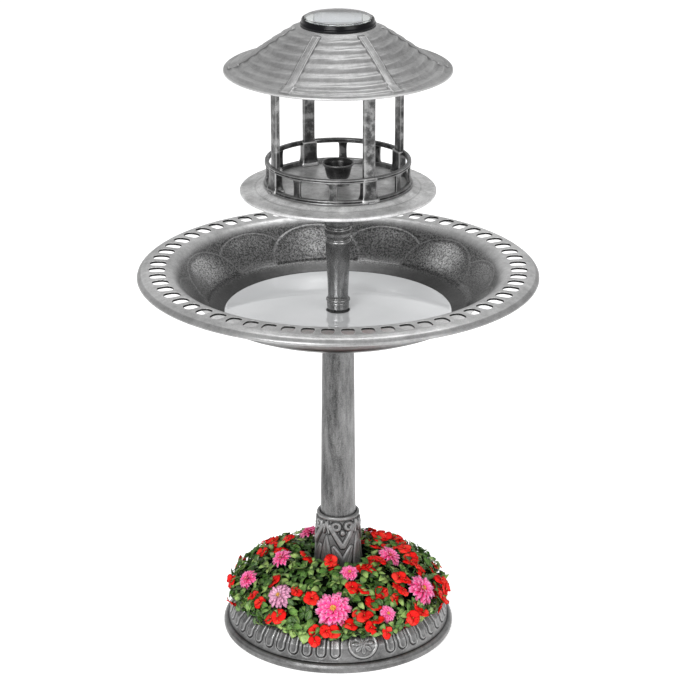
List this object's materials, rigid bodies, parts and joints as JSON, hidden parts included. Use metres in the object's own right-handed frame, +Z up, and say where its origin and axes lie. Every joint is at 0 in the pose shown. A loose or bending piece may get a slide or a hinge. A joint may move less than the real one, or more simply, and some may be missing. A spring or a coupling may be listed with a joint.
{
  "type": "bird bath",
  "caption": "Free-standing bird bath: flower planter base, tapered column, wide bowl with pierced rim, and a roofed feeder tray with a solar light.",
  "frame": {"origin": "on the ground under the column's axis, at the centre of the base's flat underside", "axes": "+Z up along the column, front towards -Y, +X to the right seen from the front"},
  "size_m": [0.5, 0.5, 0.8085],
  "materials": {
    "pewter": "moulded plastic, antique pewter effect",
    "dark_pewter": "moulded plastic, darkened pewter effect",
    "black_plastic": "matte",
    "gloss_black": "gloss",
    "rubber": "matte",
    "steel": "satin",
    "soil": "loose potting mix",
    "planting": "leaves and flowers",
    "clear_plastic": "gloss",
    "solar_cell": "gloss",
    "board": "matte",
    "battery_wrap": "gloss",
    "brass": "satin",
    "white_plastic": "gloss",
    "led": "gloss",
    "frosted_lens": "frosted"
  },
  "bodies": {
    "stand": {"planter_base": "pewter", "base_plate": "black_plastic", "filler_plug": "rubber", "base_screw_1": "steel", "base_screw_2": "steel", "base_screw_3": "steel", "base_screw_4": "steel", "potting_soil": "soil", "flower_planting": "planting", "column_collar": "pewter", "column": "pewter", "column_hub": "pewter", "bowl_seal": "rubber", "bowl": "pewter", "bowl_boss": "dark_pewter", "clamp_nut": "steel"},
    "feeder_tier": {"upper_post": "pewter", "post_band": "pewter", "tray_socket": "pewter", "feeder_tray": "pewter", "tray_bolt": "steel", "gallery_rail": "dark_pewter", "roof_post_1": "dark_pewter", "roof_post_2": "dark_pewter", "roof_post_3": "dark_pewter", "roof_post_4": "dark_pewter", "post_screw_1": "steel", "post_screw_2": "steel", "post_screw_3": "steel", "post_screw_4": "steel", "roof": "pewter"},
    "seed_cup": {"seed_cup": "dark_pewter"},
    "solar_light": {"light_housing": "gloss_black", "cover_seal": "rubber", "solar_cover": "clear_plastic", "cell_carrier": "white_plastic", "solar_cell": "solar_cell", "circuit_board": "board", "housing_base": "black_plastic", "housing_screw_1": "steel", "housing_screw_2": "steel", "housing_screw_3": "steel", "battery": "battery_wrap", "contact_spring": "brass", "contact_plate": "brass", "reflector": "white_plastic", "led": "led", "led_lens": "frosted_lens"},
    "battery_door": {"battery_door": "black_plastic"},
    "power_switch": {"switch_slider": "white_plastic"}
  },
  "joints": [
    {"name": "tier_lift", "type": "slide", "parent": "stand", "child": "feeder_tier", "axis": [0, 0, 1], "range_m": [0, 0.045]},
    {"name": "cup_lift", "type": "slide", "parent": "feeder_tier", "child": "seed_cup", "axis": [0, 0, 1], "range_m": [0, 0.05]},
    {"name": "light_lift", "type": "slide", "parent": "feeder_tier", "child": "solar_light", "axis": [0, 0, 1], "range_m": [0, 0.05]},
    {"name": "battery_door_slide", "type": "slide", "parent": "solar_light", "child": "battery_door", "axis": [0, 1, 0], "range_m": [0, 0.018]},
    {"name": "power_switch_slide", "type": "slide", "parent": "solar_light", "child": "power_switch", "axis": [1, 0, 0], "range_m": [0, 0.004]}
  ]
}
